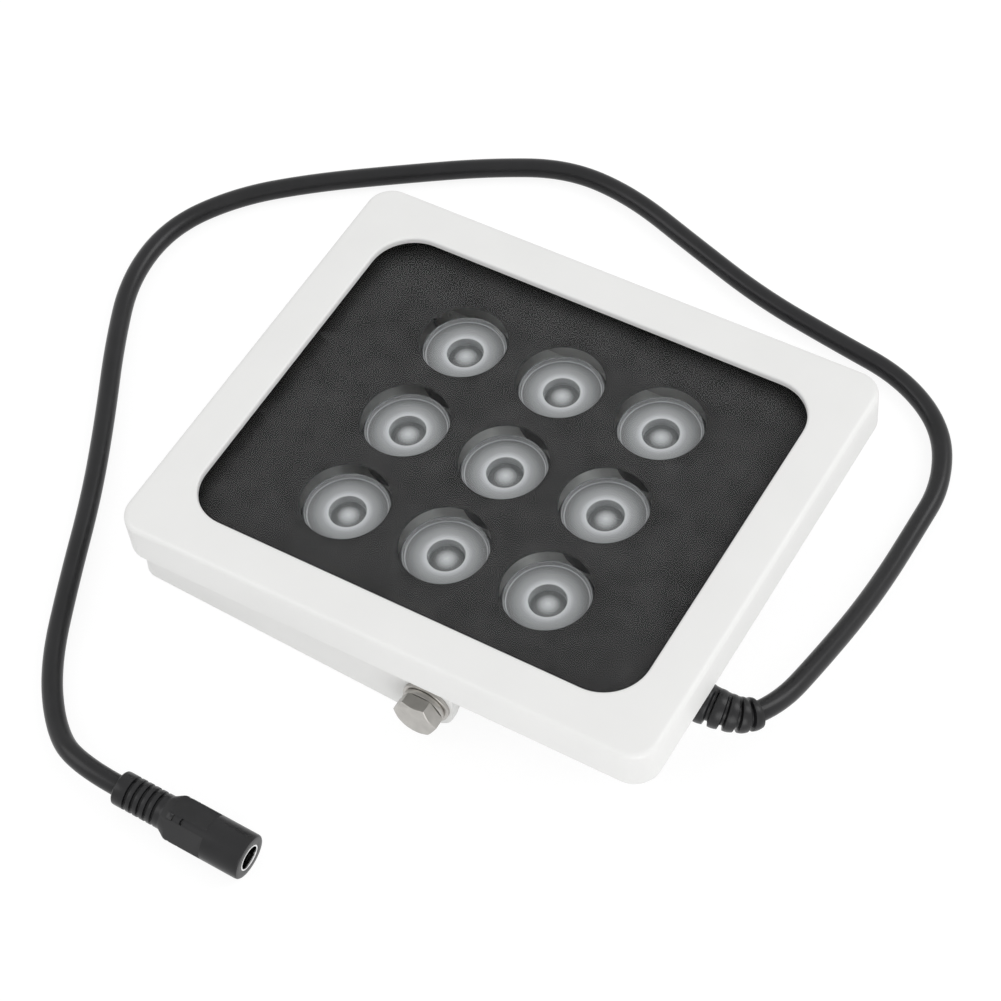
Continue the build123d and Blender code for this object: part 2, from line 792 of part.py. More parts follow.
# In-line power socket: ribbed tail, squared middle and round barrel, along +X
socket_back = route[-1].X
socket_y = route[-1].Y
socket_z = route[-1].Z
shoulder_x = socket_back + socket_relief_length
barrel_x = shoulder_x + socket_flats_length
socket_front = barrel_x + socket_barrel_length
socket_axis = Axis((socket_back, socket_y, socket_z), (1, 0, 0))
profile_plane = Plane((0, socket_y, socket_z), x_dir=(1, 0, 0), z_dir=(0, -1, 0))
front_plane = Plane((socket_front, socket_y, socket_z), x_dir=(0, 1, 0), z_dir=(1, 0, 0))
with BuildPart() as plug_body:
    with BuildSketch(profile_plane):
        with BuildLine():
            Polyline(
                (socket_back, 0),
                (socket_back, socket_relief_radius - socket_edge),
                (socket_back + socket_edge, socket_relief_radius),
                (shoulder_x, socket_relief_radius),
                (shoulder_x + socket_shoulder, socket_radius),
                (socket_front - socket_edge, socket_radius),
                (socket_front, socket_radius - socket_edge),
                (socket_front, 0),
                close=True,
            )
        make_face()
    revolve(axis=socket_axis)
    with BuildSketch(Plane((shoulder_x, socket_y, socket_z), x_dir=(0, 1, 0), z_dir=(1, 0, 0))):
        Circle(2 * socket_radius)
        Rectangle(socket_flats, socket_flats, rotation=-socket_roll, mode=Mode.SUBTRACT)
    extrude(amount=socket_flats_length, mode=Mode.SUBTRACT)
    for groove in range(socket_groove_count):
        groove_x = socket_back + socket_groove_start + groove * socket_groove_pitch
        with BuildSketch(Plane((groove_x, socket_y, socket_z), x_dir=(0, 1, 0), z_dir=(1, 0, 0))):
            Circle(2 * socket_relief_radius)
            Circle(socket_relief_radius - socket_groove_depth, mode=Mode.SUBTRACT)
        extrude(amount=socket_groove_width, mode=Mode.SUBTRACT)
    for ridge in range(4):
        turn = math.radians(45 - socket_roll + 90 * ridge)
        ridge_out = Vector(0, math.cos(turn), math.sin(turn))
        for notch in range(2):
            notch_x = shoulder_x + socket_shoulder + socket_notch_start + notch * socket_notch_pitch
            notch_spot = Vector(notch_x, socket_y, socket_z) + ridge_out * socket_radius
            with BuildSketch(Plane(notch_spot, x_dir=(1, 0, 0), z_dir=ridge_out)):
                Rectangle(socket_notch_width, socket_notch_length)
            extrude(amount=-socket_notch_depth, mode=Mode.SUBTRACT)
    with Locations(front_plane):
        Hole(radius=sleeve_radius, depth=sleeve_length)
keep(plug_body, "plug_body", level)

with BuildPart() as plug_sleeve:
    with BuildSketch(front_plane):
        Circle(sleeve_radius)
        Circle(sleeve_radius - sleeve_wall, mode=Mode.SUBTRACT)
    extrude(amount=-sleeve_length)
keep(plug_sleeve, "plug_sleeve", level)

with BuildPart() as plug_liner:
    with BuildSketch(front_plane.offset(-sleeve_length)):
        Circle(sleeve_radius - sleeve_wall)
        Circle(pin_radius, mode=Mode.SUBTRACT)
    extrude(amount=liner_thickness)
keep(plug_liner, "plug_liner", level)

with BuildPart() as plug_pin:
    with BuildSketch(front_plane.offset(-sleeve_length)):
        Circle(pin_radius)
    extrude(amount=sleeve_length - pin_short)
    fillet(plug_pin.faces().sort_by(Axis.X)[-1].edges(), pin_radius / 2)
keep(plug_pin, "plug_pin", level)
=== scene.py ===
import math

import bmesh
import bpy
import numpy as np
from mathutils import Matrix


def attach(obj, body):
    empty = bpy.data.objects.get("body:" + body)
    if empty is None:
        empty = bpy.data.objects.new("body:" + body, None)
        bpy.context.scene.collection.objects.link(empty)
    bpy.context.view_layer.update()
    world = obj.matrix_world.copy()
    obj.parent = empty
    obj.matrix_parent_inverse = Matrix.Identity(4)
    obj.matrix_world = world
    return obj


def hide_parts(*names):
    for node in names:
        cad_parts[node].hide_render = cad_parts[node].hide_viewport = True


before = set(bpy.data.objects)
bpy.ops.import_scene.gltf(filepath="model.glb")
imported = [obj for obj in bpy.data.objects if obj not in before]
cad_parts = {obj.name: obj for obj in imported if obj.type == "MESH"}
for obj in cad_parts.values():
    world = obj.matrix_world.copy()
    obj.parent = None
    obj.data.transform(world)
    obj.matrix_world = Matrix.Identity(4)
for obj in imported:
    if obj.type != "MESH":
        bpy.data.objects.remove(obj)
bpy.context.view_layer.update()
print("frame loaded")

mm = 0.001
poleRadius = 0.01   # mm, where a turned profile meets its axis
headPlace = {
    "lean": math.radians(5.006995),      # how far the head leans back on the bracket
    "pivotInHead": (8.7, 0.0, -22.6),   # mm, from the middle window's centre
    "pivotInRow": (4.6191, 0.0, 9.0),  # mm, on the floor's frame
}


def toRow(points):
    # Head millimetres to row metres: a turn by the lean about the pivot bolts.
    local = np.asarray(points, float) - headPlace["pivotInHead"]
    c, s = math.cos(headPlace["lean"]), math.sin(headPlace["lean"])
    x, y, z = local[..., 0], local[..., 1], local[..., 2]
    turned = np.stack([x * c - z * s, y, x * s + z * c], axis=-1)
    return (turned + headPlace["pivotInRow"]) * mm


def softened(corners, cuts, steps=5):
    # Polyline with each inner corner cut back by its own length and bridged by a parabola.
    corners, cuts = np.asarray(corners, float), np.asarray(cuts, float)[:, None]
    back, ahead = corners[:-2] - corners[1:-1], corners[2:] - corners[1:-1]
    backLength = np.linalg.norm(back, axis=1, keepdims=True)
    aheadLength = np.linalg.norm(ahead, axis=1, keepdims=True)
    cut = np.minimum(cuts, 0.49 * np.minimum(backLength, aheadLength))
    start = (corners[1:-1] + back / backLength * cut)[:, None]
    end = (corners[1:-1] + ahead / aheadLength * cut)[:, None]
    t = np.linspace(0, 1, steps)[None, :, None]
    curve = (1 - t) ** 2 * start + 2 * t * (1 - t) * corners[1:-1][:, None] + t**2 * end
    return np.concatenate([corners[:1], curve.reshape(-1, corners.shape[1]), corners[-1:]])


def roundedRings(halfX, halfY, corner, height, steps=14):
    # One ring per station: four quarter turns of radius corner about (halfX - corner, halfY - corner).
    halfX, halfY, corner, height = (np.asarray(v, float)[:, None] for v in (halfX, halfY, corner, height))
    quarter = np.arange(4)[:, None] * math.pi / 2
    angle = (quarter + np.linspace(0, math.pi / 2, steps)[None]).reshape(1, -1)
    signX = np.repeat([1, -1, -1, 1], steps)[None]
    signY = np.repeat([1, 1, -1, -1], steps)[None]
    x = signX * (halfX - corner) + corner * np.cos(angle)
    y = signY * (halfY - corner) + corner * np.sin(angle)
    return np.stack([x, y, np.broadcast_to(height, x.shape)], axis=-1)


def turnedRings(profile, steps=96):
    # Surface of revolution: each (radius, height) of the profile carried round the axis.
    radius, height = np.asarray(profile, float).T[:, :, None]
    angle = np.linspace(0, 2 * math.pi, steps, endpoint=False)[None]
    x, y = radius * np.cos(angle), radius * np.sin(angle)
    return np.stack([x, y, np.broadcast_to(height, x.shape)], axis=-1)


def gridFaces(rows, columns, loopRows=False, loopColumns=True):
    # Quads between neighbouring points of a grid, with either way closed on itself.
    row = np.arange(rows if loopRows else rows - 1)[:, None]
    column = np.arange(columns if loopColumns else columns - 1)[None]
    nextRow, nextColumn = (row + 1) % rows, (column + 1) % columns
    corners = [row * columns + column, row * columns + nextColumn,
               nextRow * columns + nextColumn, nextRow * columns + column]
    return np.stack(np.broadcast_arrays(*corners), axis=-1).reshape(-1, 4)


def addPiece(name, grid, material, loopRows=False, loopColumns=True, caps=True, sharp=32):
    # A mesh from one grid of points, its open ends closed, its faces turned outwards.
    rows, columns = grid.shape[:2]
    faces = gridFaces(rows, columns, loopRows, loopColumns).tolist()
    if caps and not loopRows:
        faces.append(list(range(columns)))
        faces.append(list(range((rows - 1) * columns, rows * columns)))
    mesh = bpy.data.meshes.new(name)
    mesh.from_pydata(grid.reshape(-1, 3).tolist(), [], faces)
    return finishMesh(name, mesh, material, sharp)


def smoothed(mesh, sharp=32):
    mesh.polygons.foreach_set("use_smooth", np.ones(len(mesh.polygons), bool))
    mesh.set_sharp_from_angle(angle=math.radians(sharp))


def finishMesh(name, mesh, material, sharp=32):
    # Doubles merged, normals outwards, smooth shading with the sharp edges kept.
    work = bmesh.new()
    work.from_mesh(mesh)
    bmesh.ops.remove_doubles(work, verts=work.verts, dist=1e-6)
    bmesh.ops.dissolve_degenerate(work, edges=work.edges, dist=1e-7)
    bmesh.ops.recalc_face_normals(work, faces=work.faces)
    work.to_mesh(mesh)
    work.free()
    smoothed(mesh, sharp)
    mesh.materials.clear()
    mesh.materials.append(material)
    piece = bpy.data.objects.new(name, mesh)
    bpy.context.scene.collection.objects.link(piece)
    return piece


def joinGrids(name, grids, material, sharp=32, **closing):
    # Several grids in one mesh, for pieces that come in pairs or have parts of their own.
    points, faces, start = [], [], 0
    for grid in grids:
        rows, columns = grid.shape[:2]
        faces += (gridFaces(rows, columns, **closing) + start).tolist()
        if not closing.get("loopRows"):
            faces.append(list(range(start, start + columns)))
            faces.append(list(range(start + (rows - 1) * columns, start + rows * columns)))
        points.append(grid.reshape(-1, 3))
        start += rows * columns
    mesh = bpy.data.meshes.new(name)
    mesh.from_pydata(np.concatenate(points).tolist(), [], faces)
    return finishMesh(name, mesh, material, sharp)


def settle(piece, body, slot, *nodes):
    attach(piece, body)
    if nodes:
        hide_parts(*nodes)


def startMaterial(name, colour, roughness, metallic=0.0):
    material = bpy.data.materials.new(name)
    material.use_nodes = True
    nodes, links = material.node_tree.nodes, material.node_tree.links
    shader = nodes["Principled BSDF"]
    setInputs(shader, Base_Color=(*colour, 1), Roughness=roughness, Metallic=metallic)
    place = nodes.new("ShaderNodeTexCoord")
    return material, nodes, links, shader, place


def setInputs(node, **values):
    # Constants on a node's sockets, their names written with underscores.
    for label, value in values.items():
        node.inputs[label.replace("_", " ")].default_value = value


def principled(material):
    return material.node_tree.nodes["Principled BSDF"]


def noiseNode(nodes, links, place, scale, detail=3.0):
    noise = nodes.new("ShaderNodeTexNoise")
    setInputs(noise, Scale=scale, Detail=detail)
    links.new(place.outputs["Object"], noise.inputs["Vector"])
    return noise


def addGrain(parts, scale, strength, distance=0.0002):
    # A fine bump from noise on the piece's own place.
    nodes, links, shader, place = parts
    noise = noiseNode(nodes, links, place, scale)
    bump = nodes.new("ShaderNodeBump")
    setInputs(bump, Strength=strength, Distance=distance)
    links.new(noise.outputs["Fac"], bump.inputs["Height"])
    links.new(bump.outputs["Normal"], shader.inputs["Normal"])


def addTone(parts, scale, dark, light):
    # The colour drifts between two close tones.
    nodes, links, shader, place = parts
    noise = noiseNode(nodes, links, place, scale)
    ramp = nodes.new("ShaderNodeValToRGB")
    ramp.color_ramp.elements[0].position = 0.3
    ramp.color_ramp.elements[1].position = 0.7
    ramp.color_ramp.elements[0].color = (*dark, 1)
    ramp.color_ramp.elements[1].color = (*light, 1)
    links.new(noise.outputs["Fac"], ramp.inputs["Fac"])
    links.new(ramp.outputs["Color"], shader.inputs["Base Color"])


def addRoughness(parts, scale, low, high):
    nodes, links, shader, place = parts
    noise = noiseNode(nodes, links, place, scale, 5.0)
    spread = nodes.new("ShaderNodeMapRange")
    setInputs(spread, To_Min=low, To_Max=high)
    links.new(noise.outputs["Fac"], spread.inputs["Value"])
    links.new(spread.outputs["Result"], shader.inputs["Roughness"])


def letLightThrough(parts, tint):
    # Lamps shine through: shadow rays meet a plain transparent shader.
    nodes, links, shader, _ = parts
    clear = nodes.new("ShaderNodeBsdfTransparent")
    clear.inputs["Color"].default_value = (*tint, 1)
    rays = nodes.new("ShaderNodeLightPath")
    mix = nodes.new("ShaderNodeMixShader")
    output = nodes["Material Output"]
    links.new(rays.outputs["Is Shadow Ray"], mix.inputs["Fac"])
    links.new(shader.outputs["BSDF"], mix.inputs[1])
    links.new(clear.outputs["BSDF"], mix.inputs[2])
    links.new(mix.outputs["Shader"], output.inputs["Surface"])


def paintFinish(name, colour, grain=1400, roughness=(0.34, 0.46), strength=0.12):
    material, *parts = startMaterial(name, colour, 0.4)
    addGrain(parts, grain, strength, 0.00006)
    addTone(parts, 60, tuple(0.975 * v for v in colour), colour)
    addRoughness(parts, 90, *roughness)
    return material


def mouldedFinish(name, colour, roughness=(0.38, 0.52), grain=2600, strength=0.25):
    material, *parts = startMaterial(name, colour, 0.45)
    addGrain(parts, grain, strength, 0.00005)
    addTone(parts, 150, tuple(0.8 * v for v in colour), tuple(1.15 * v for v in colour))
    addRoughness(parts, 300, *roughness)
    return material


def metalFinish(name, colour, roughness=(0.22, 0.36), grain=1500, strength=0.1):
    material, *parts = startMaterial(name, colour, 0.3, 1.0)
    addGrain(parts, grain, strength, 0.00005)
    addTone(parts, 400, tuple(0.86 * v for v in colour), colour)
    addRoughness(parts, 500, *roughness)
    return material


def clearFinish(name, colour, ior, roughness, tint, coat=0.0):
    material, *parts = startMaterial(name, colour, roughness)
    setInputs(parts[2], Transmission_Weight=1.0, IOR=ior, Coat_Weight=coat, Coat_Roughness=0.02)
    letLightThrough(parts, tint)
    return material


bezelPaint = paintFinish("bezelPaint", (0.80, 0.80, 0.79))
housingPaint = paintFinish("housingPaint", (0.76, 0.76, 0.75), roughness=(0.4, 0.52))
bracketPaint = paintFinish("bracketPaint", (0.79, 0.79, 0.78))
windowGlass = clearFinish("windowGlass", (1, 1, 1), 1.05, 0.0, (0.95, 0.96, 0.96), coat=0.14)
printInk = mouldedFinish("printInk", (0.026, 0.026, 0.0262), roughness=(0.5, 0.6), strength=0.05)
setInputs(principled(printInk), Specular_IOR_Level=0.0)
lensClear = clearFinish("lensClear", (0.6, 0.62, 0.65), 1.49, 0.16, (0.9, 0.92, 0.92))
lensLook = {
    "transmission": 0.45, "tint": (0.95, 0.98, 1.0),
    # painted highlights and shade: tone against the distance from the lens's axis, as a share of the rim's
    # radius; the bright rings stand in for light the lens reflects inside it, the dark ones for its shaded
    # lines
    "paintedLightTones": [(0.0, 0.72), (0.14, 0.5), (0.28, 0.16), (0.4, 0.2), (0.45, 0.7), (0.58, 0.42),
              (0.8, 0.26), (0.9, 0.2), (0.93, 0.6), (0.95, 0.12), (0.97, 0.5), (1.0, 0.1)],
}
setInputs(principled(lensClear), Transmission_Weight=lensLook["transmission"])
axisShare = lensClear.node_tree.nodes.new("ShaderNodeAttribute")
axisShare.attribute_name = "axisShare"
lensPaintedLightRamp = lensClear.node_tree.nodes.new("ShaderNodeValToRGB")
lensPaintedLightStops = lensPaintedLightRamp.color_ramp.elements
for position, tone in lensLook["paintedLightTones"]:
    stop = {0.0: lensPaintedLightStops[0], 1.0: lensPaintedLightStops[-1]}.get(position) or lensPaintedLightStops.new(position)
    stop.color = (*[tone * v for v in lensLook["tint"]], 1)
# the painted highlight and shade rings go into the lens's base colour
lensClear.node_tree.links.new(axisShare.outputs["Fac"], lensPaintedLightRamp.inputs["Fac"])
lensClear.node_tree.links.new(lensPaintedLightRamp.outputs["Color"], principled(lensClear).inputs["Base Color"])
holderPlastic = mouldedFinish("holderPlastic", (0.05, 0.05, 0.052))
emitterClear = mouldedFinish("emitterClear", (0.5, 0.5, 0.48), roughness=(0.1, 0.2))
boardWhite = mouldedFinish("boardWhite", (0.62, 0.63, 0.62), roughness=(0.4, 0.5))
boardGreen = mouldedFinish("boardGreen", (0.02, 0.12, 0.05))
padGrey = mouldedFinish("padGrey", (0.3, 0.33, 0.36), roughness=(0.7, 0.8))
sealRubber = mouldedFinish("sealRubber", (0.02, 0.02, 0.02), roughness=(0.6, 0.75))
darkPart = mouldedFinish("darkPart", (0.02, 0.02, 0.022))
leadRed = mouldedFinish("leadRed", (0.3, 0.02, 0.015))
canMetal = metalFinish("canMetal", (0.6, 0.61, 0.62))
screwSteel = metalFinish("screwSteel", (0.6, 0.6, 0.59))
boltSteel = metalFinish("boltSteel", (0.5, 0.485, 0.46), roughness=(0.28, 0.4))
reliefBlack = mouldedFinish("reliefBlack", (0.014, 0.014, 0.015), roughness=(0.28, 0.36))
cordBlack = mouldedFinish("cordBlack", (0.011, 0.011, 0.012), (0.26, 0.34), grain=1800, strength=0.12)
plugBlack = mouldedFinish("plugBlack", (0.012, 0.012, 0.013), roughness=(0.26, 0.34))
# painted shade: the pin deep in the bore gets a dark metal colour for the shade it stands in
pinMetalPaintedShade = metalFinish("pinMetalPaintedShade", (0.2, 0.2, 0.19), roughness=(0.12, 0.22))
# plug sleeve metal; its colour gets painted shade into the bore further down
sleeveMetalPaintedShade = metalFinish("sleeveMetalPaintedShade", (0.75, 0.74, 0.72), roughness=(0.12, 0.22))
for blackPlastic in (reliefBlack, cordBlack, plugBlack):
    setInputs(principled(blackPlastic), Specular_IOR_Level=0.3)
print("materials made")


# camera, fitted to the photo's viewpoint
cameraPlace = {
    "at": (175.54, -307.47, 552.77),       # mm
    "ahead": (-0.2823, 0.4756, -0.8331),
    "right": (0.8617, 0.5074, -0.0023),
    "lens": 98.2,                          # mm
    "sensor": 36.0,                        # mm
    "clip": (0.01, 20.0),                  # m
}
ahead = np.array(cameraPlace["ahead"]) / np.linalg.norm(cameraPlace["ahead"])
right = np.array(cameraPlace["right"]) - ahead * np.dot(cameraPlace["right"], ahead)
right /= np.linalg.norm(right)
up = np.cross(right, ahead)
turn = Matrix(np.column_stack([right, up, -ahead]).tolist()).to_4x4()
cameraData = bpy.data.cameras.new("photoCamera")
cameraData.lens = cameraPlace["lens"]
cameraData.sensor_width = cameraPlace["sensor"]
cameraData.sensor_fit = "HORIZONTAL"
cameraData.clip_start, cameraData.clip_end = cameraPlace["clip"]
camera = bpy.data.objects.new("photoCamera", cameraData)
camera.matrix_world = Matrix.Translation(np.array(cameraPlace["at"]) * mm) @ turn
bpy.context.scene.collection.objects.link(camera)
bpy.context.scene.camera = camera


# cord: a quadratic B-spline through the route's control points, in row millimetres
cordMake = {"radius": 2.5, "length": 512.0, "shift": (-0.0587, 0, 0)}
cordRoute = np.array([
    (72.6, -22.5, 18.3), (75.9, -16.9, 17.2), (77.7, -1.0, 13.4), (79.1, 17.0, 8.8), (79.5, 33.0, 5.2),
    (79.3, 49.0, 3.0), (79.3, 64.5, 2.5), (72.3, 79.8, 2.5), (57.1, 89.0, 2.5), (37.6, 90.9, 2.5),
    (15.1, 93.6, 2.5), (-7.4, 99.8, 2.5), (-29.9, 106.4, 2.5), (-48.9, 106.0, 2.5), (-66.9, 95.8, 2.5),
    (-84.9, 82.6, 2.5), (-103.9, 68.0, 2.5), (-118.5, 54.0, 2.5), (-127.9, 37.0, 2.5), (-127.3, 17.5, 2.5),
    (-118.4, -2.0, 2.5), (-107.3, -22.0, 2.5), (-96.9, -42.5, 2.5), (-87.5, -65.0, 2.5), (-77.9, -86.0, 2.5),
    (-66.9, -99.2, 2.8), (-56.4, -105.0, 5.5), (-44.4, -105.0, 5.5),
]) + cordMake["shift"]
cordCurve = bpy.data.curves.new("powerCord", "CURVE")
cordCurve.dimensions = "3D"
spline = cordCurve.splines.new("NURBS")
spline.points.add(len(cordRoute) - 1)
spline.points.foreach_set("co", np.hstack([cordRoute * mm, np.ones((len(cordRoute), 1))]).ravel())
spline.order_u = 3
spline.use_endpoint_u = True
spline.resolution_u = 12
cordCurve.bevel_depth = cordMake["radius"] * mm
cordCurve.bevel_resolution = 8
cordCurve.use_fill_caps = True
cordCurve.materials.append(cordBlack)
powerCord = bpy.data.objects.new("powerCord", cordCurve)
bpy.context.scene.collection.objects.link(powerCord)
settle(powerCord, "head", "cord_black", "cord")
print("cord laid")


# bezel: rounded rings carried over the lip, the front and the outer wall, in head millimetres
bezel = {
    "half": (69.65, 58.5), "corner": 6.5, "front": 4.8, "lower": -6.4, "wall": 3.0,
    "edgeRound": 1.6, "lipRound": 0.8, "lowerRound": 0.4,
    "windowHalf": (58.55, 47.35), "windowCorner": 11.0, "glassTop": 3.0, "pocket": 3.3,
    "pocketFloor": 1.2, "frontInset": 6.0, "lipInset": 3.0, "lipFoot": 0.15, "pocketRound": 0.05,
}


def outerRings(profile):
    offset, height = np.asarray(profile).T
    return roundedRings(bezel["half"][0] + offset, bezel["half"][1] + offset,
                        bezel["corner"] + offset, height)


def windowRings(profile):
    offset, height = np.asarray(profile).T
    return roundedRings(bezel["windowHalf"][0] + offset, bezel["windowHalf"][1] + offset,
                        bezel["windowCorner"] + offset, height)


outside = softened(
    [(-bezel["wall"], bezel["lower"]), (0, bezel["lower"]), (0, bezel["front"]),
     (-bezel["frontInset"], bezel["front"])],
    [bezel["lowerRound"], bezel["edgeRound"]], 8)
inside = softened(
    [(bezel["lipInset"], bezel["front"]), (0, bezel["front"]), (0, bezel["glassTop"]),
     (bezel["pocket"], bezel["glassTop"]), (bezel["pocket"], bezel["pocketFloor"])],
    [bezel["lipRound"], bezel["lipFoot"], bezel["pocketRound"]], 6)
bezelGrid = np.concatenate([
    outerRings(outside), windowRings(inside), outerRings([(-bezel["wall"], bezel["pocketFloor"])])])
frontBezel = addPiece("frontBezel", toRow(bezelGrid), bezelPaint, loopRows=True)
settle(frontBezel, "head", "bezel_paint", "front_bezel")

# glass slab and the black print behind it
glass = {"half": (61.55, 50.35), "corner": 14.0, "thickness": 3.0, "edge": 0.25}
slab = softened([(-1, 0), (0, 0), (0, glass["thickness"]), (-1, glass["thickness"])], [glass["edge"]] * 2, 4)
glassGrid = roundedRings(glass["half"][0] + slab[:, 0], glass["half"][1] + slab[:, 0],
                         glass["corner"] + slab[:, 0], slab[:, 1])
frontGlass = addPiece("frontGlass", toRow(glassGrid), windowGlass)
settle(frontGlass, "head", "front_glass", "front_glass")

printSheet = {"hole": 10.65, "pitch": (26.8, 26.5), "gap": 0.02, "thickness": 0.08,
              "steps": 24, "rings": 4}


def holedCell(centre, low, high):
    # Rings from the hole's circle out to the cell's border, met by straight rays from its centre.
    border = np.concatenate([
        np.stack([np.linspace(a[0], b[0], printSheet["steps"], endpoint=False),
                  np.linspace(a[1], b[1], printSheet["steps"], endpoint=False)], axis=-1)
        for a, b in (((high[0], low[1]), high), (high, (low[0], high[1])),
                     ((low[0], high[1]), low), (low, (high[0], low[1])))])
    reach = np.array(glass["half"]) - glass["corner"]
    beyond = np.abs(border) - reach
    rounded = reach + beyond * glass["corner"] / np.linalg.norm(beyond, axis=1, keepdims=True)
    isCorner = (beyond > 0).all(axis=1, keepdims=True) & (
        np.linalg.norm(np.maximum(beyond, 0), axis=1, keepdims=True) > glass["corner"])
    border = np.where(isCorner, np.sign(border) * rounded, border)
    ray = border - centre
    circle = centre + ray / np.linalg.norm(ray, axis=1, keepdims=True) * printSheet["hole"]
    t = np.linspace(0, 1, printSheet["rings"])[:, None, None]
    flat = circle[None] * (1 - t) + border[None] * t
    return np.concatenate([flat, np.zeros(flat.shape[:2] + (1,))], axis=-1)


lampX = (np.arange(3) - 1) * printSheet["pitch"][0]
lampY = (np.arange(3) - 1) * printSheet["pitch"][1]
lamps = [(x, y) for x in lampX for y in lampY]
linesX = [-glass["half"][0], -lampX[2] / 2, lampX[2] / 2, glass["half"][0]]
linesY = [-glass["half"][1], -lampY[2] / 2, lampY[2] / 2, glass["half"][1]]
cells = [
    holedCell(np.array([lampX[i], lampY[j]]), (linesX[i], linesY[j]), (linesX[i + 1], linesY[j + 1]))
    for i in range(3) for j in range(3)]
cellFaces, cellPoints, start = [], [], 0
for cell in cells:
    cellFaces += (gridFaces(*cell.shape[:2]) + start).tolist()
    cellPoints.append(cell.reshape(-1, 3))
    start += cell.shape[0] * cell.shape[1]
printMesh = bpy.data.meshes.new("blackPrint")
printMesh.from_pydata(toRow(np.concatenate(cellPoints) - (0, 0, printSheet["gap"])).tolist(), [], cellFaces)
blackPrint = finishMesh("blackPrint", printMesh, printInk)
thick = blackPrint.modifiers.new("thickness", "SOLIDIFY")
thick.thickness = printSheet["thickness"] * mm
thick.offset = -1
settle(blackPrint, "head", "print", "black_print")
print("bezel, glass and print made")

# lenses, holders and emitters: profiles of radius against height, turned about each lamp's axis
lens = {
    "top": -3.0, "rim": 10.3, "rimInner": 9.7, "face": 1.0, "rimHeight": 2.0, "bore": 4.4, "boreDepth": 3.2,
    "crown": 0.9, "cone": 8.4, "foot": 4.2, "height": 8.2, "well": 3.0, "wellTop": 3.4,
    "edges": [0.12, 0.12, 0.12, 0.12, 0.1, 0.1, 0.1, 0.1, 0.2],
}
rise = np.linspace(0, 1, 9)
domeRadius = (lens["bore"] ** 2 + lens["crown"] ** 2) / (2 * lens["crown"])
domeX = rise * lens["bore"]
dome = np.stack([domeX, -lens["boreDepth"] + lens["crown"] - domeRadius
                 + np.sqrt(domeRadius**2 - domeX**2)], axis=-1)
wellTop = lens["wellTop"] - lens["height"]
lensOutline = softened(
    [dome[-1], (lens["bore"], -lens["face"]), (lens["rimInner"], -lens["face"]), (lens["rimInner"], 0),
     (lens["rim"], 0), (lens["rim"], -lens["rimHeight"]), (lens["cone"], -lens["rimHeight"]),
     (lens["foot"], -lens["height"]), (lens["well"], -lens["height"]),
     (lens["well"], wellTop - lens["crown"]), (0, wellTop)],
    lens["edges"], 4)
lensProfile = np.concatenate([dome, lensOutline[1:]])
holder = {"outer": 11.2, "inner": 9.3, "hole": 4.6, "floor": 1.0, "base": -12.6, "edge": 0.2}
holderTop = lens["top"] - lens["rimHeight"] - holder["base"]
holderProfile = softened(
    [(holder["hole"], 0), (holder["outer"], 0), (holder["outer"], holderTop), (holder["inner"], holderTop),
     (holder["inner"], holder["floor"]), (holder["hole"], holder["floor"]), (holder["hole"], 0)],
    [holder["edge"]] * 5, 3)
emitter = {"base": 3.9, "step": 1.0, "dome": 2.4, "edge": 0.15}
quarterTurn = rise * math.pi / 2
emitterProfile = np.concatenate([
    softened([(0, 0), (emitter["base"], 0), (emitter["base"], emitter["step"]),
              (emitter["dome"], emitter["step"])], [emitter["edge"]] * 2, 3),
    np.stack([emitter["dome"] * np.cos(quarterTurn),
              emitter["step"] + emitter["dome"] * np.sin(quarterTurn)], axis=-1)])
headNormal = (toRow((0, 0, 1)) - toRow((0, 0, 0))) / mm
for index, (x, y) in enumerate(lamps, start=1):
    for name, profile, height, finish, slot, node in (
            ("lens", lensProfile, lens["top"], lensClear, "lens", "lens"),
            ("lensHolder", holderProfile, holder["base"], holderPlastic, "holder", "lens_holder"),
            ("emitter", emitterProfile, holder["base"], emitterClear, "emitter", "emitter")):
        rings = turnedRings(profile) + (x, y, height)
        piece = addPiece(f"{name}{index}", toRow(rings), finish, caps=False,
                         loopRows=name == "lensHolder", sharp=28)
        # distance from the lens's axis, which drives the painted highlight and shade rings
        if name == "lens":
            spots = np.empty(3 * len(piece.data.vertices), np.float32)
            piece.data.vertices.foreach_get("co", spots)
            offAxis = np.linalg.norm(np.cross(spots.reshape(-1, 3) - toRow((x, y, 0)), headNormal), axis=1)
            share = piece.data.attributes.new("axisShare", "FLOAT", "POINT")
            share.data.foreach_set("value", (offAxis / (lens["rim"] * mm)).astype(np.float32))
        settle(piece, "head", slot, f"{node}_{index}")
print("nine lenses, holders and emitters made")


# pivot bolts and washers
bolt = {"pivot": (8.7, -22.6), "flats": 10.0, "head": 3.6, "face": 4.7, "slope": 0.55, "seat": 55.15,
        "shank": 3.0, "shankLength": 15.0, "shankEdges": [0.05, 0.5], "lowerRound": 0.12,
        "cornerDrop": 0.08, "cornerInset": 0.06, "faceDrop": 0.04, "steps": 144}


def onPivot(grid, side, y):
    # Local z runs outwards along the pivot from the given distance, on either side.
    along = side * (y + grid[..., 2])
    return toRow(np.stack([bolt["pivot"][0] + side * grid[..., 0], along,
                           bolt["pivot"][1] + grid[..., 1]], axis=-1))


